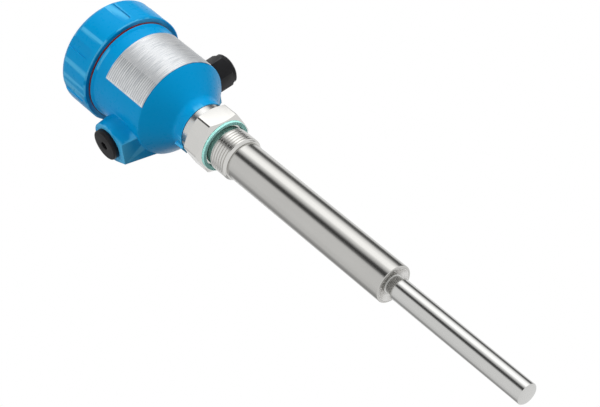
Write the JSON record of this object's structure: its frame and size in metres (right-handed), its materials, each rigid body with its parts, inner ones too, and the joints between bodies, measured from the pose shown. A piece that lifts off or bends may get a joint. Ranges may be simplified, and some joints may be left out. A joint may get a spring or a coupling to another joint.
{
  "type": "vibrating rod level switch",
  "caption": "Level switch with a coaxial vibrating rod on an extension tube, threaded process fitting, and a cast swivelling housing with screw cover and side cable entry.",
  "frame": {"origin": "on the probe axis, at the sealing face of the process hexagon", "axes": "+Z along the probe axis up to the housing and its cover, +X towards the cable gland"},
  "size_m": [0.1127, 0.0848, 0.4295],
  "materials": {
    "steel": "satin turned stainless steel",
    "gasket": "matt compressed fibre gasket",
    "seal_black": "matt black rubber",
    "seal_red": "satin red rubber",
    "paint": "glossy light blue powder coat",
    "plate": "brushed foil plate",
    "black_plastic": "matt black plastic",
    "screw_steel": "satin steel",
    "ceramic": "fired ceramic",
    "brass": "bright brass",
    "insulator": "matt insulating plastic",
    "lead": "matt lead insulation",
    "insert_plastic": "matt dark grey plastic",
    "board": "green circuit board",
    "terminal_plastic": "matt light grey plastic",
    "switch_white": "white plastic",
    "lamp": "clear green plastic"
  },
  "bodies": {
    "process_connection": {"process_fitting": "steel", "process_gasket": "gasket", "neck_seal": "seal_black", "probe_tube": "steel", "diaphragm": "steel", "piezo_discs": "ceramic", "stack_electrodes": "brass", "stack_insulators": "insulator", "stack_cap": "screw_steel", "stack_nut": "screw_steel", "stack_bolt": "screw_steel", "sensor_lead": "lead"},
    "rod": {"vibrating_rod": "steel"},
    "counter_rod": {"counter_rod": "steel"},
    "housing": {"housing_body": "paint", "lock_screw": "screw_steel", "nameplate": "plate", "gland_body": "black_plastic", "gland_ring": "seal_black", "electronics_insert": "insert_plastic", "circuit_board": "board", "insert_screws": "screw_steel", "terminal_block": "terminal_plastic", "terminal_screws": "screw_steel", "switch_block": "black_plastic", "status_lamp": "lamp", "earth_clamp": "screw_steel", "earth_screw": "brass"},
    "cover_seal": {"cover_seal": "seal_red"},
    "cover": {"screw_cover": "paint"},
    "gland_seal": {"gland_seal": "seal_black"},
    "gland_nut": {"gland_nut": "black_plastic"},
    "plug_seal": {"plug_seal": "seal_black"},
    "plug": {"blanking_plug": "black_plastic"},
    "failsafe_switch": {"failsafe_slider": "switch_white"},
    "density_switch": {"density_slider": "switch_white"}
  },
  "joints": [
    {"name": "rod_swing", "type": "hinge", "parent": "process_connection", "child": "rod", "pos_m": [0, 0, -0.1672], "axis": [0, 1, 0], "range_deg": [-0.2, 0.2], "stiffness_Nm_per_rad": 200},
    {"name": "counter_swing", "type": "hinge", "parent": "process_connection", "child": "counter_rod", "pos_m": [0, 0, -0.1672], "axis": [0, 1, 0], "range_deg": [-0.2, 0.2]},
    {"name": "housing_swivel", "type": "hinge", "parent": "process_connection", "child": "housing", "pos_m": [0, 0, 0.03], "axis": [0, 0, 1], "range_deg": [-175, 175]},
    {"name": "cover_lift", "type": "slide", "parent": "housing", "child": "cover_seal", "axis": [0, 0, 1], "range_m": [0, 0.01]},
    {"name": "cover_turn", "type": "hinge", "parent": "cover_seal", "child": "cover", "pos_m": [0, 0, 0.104], "axis": [0, 0, 1], "range_deg": [0, 1800]},
    {"name": "gland_clamp", "type": "slide", "parent": "housing", "child": "gland_seal", "axis": [1, 0, 0], "range_m": [0, 0.006]},
    {"name": "gland_nut_turn", "type": "hinge", "parent": "gland_seal", "child": "gland_nut", "pos_m": [0.052, 0.015, 0.0708], "axis": [1, 0, 0], "range_deg": [0, 1440]},
    {"name": "plug_travel", "type": "slide", "parent": "housing", "child": "plug_seal", "axis": [-1, 0, 0], "range_m": [0, 0.0075]},
    {"name": "plug_turn", "type": "hinge", "parent": "plug_seal", "child": "plug", "pos_m": [-0.049, 0.015, 0.0708], "axis": [-1, 0, 0], "range_deg": [0, 1800]},
    {"name": "failsafe_slide", "type": "slide", "parent": "housing", "child": "failsafe_switch", "axis": [0, 1, 0], "range_m": [0, 0.0022]},
    {"name": "density_slide", "type": "slide", "parent": "housing", "child": "density_switch", "axis": [0, 1, 0], "range_m": [0, 0.0022]}
  ],
  "couplings": [
    {"joint": "counter_swing", "follows": "rod_swing", "ratio": -1},
    {"joint": "cover_lift", "follows": "cover_turn", "m_per_rad": 0.0003183},
    {"joint": "gland_clamp", "follows": "gland_nut_turn", "m_per_rad": 0.0002387},
    {"joint": "plug_travel", "follows": "plug_turn", "m_per_rad": 0.0002387}
  ]
}
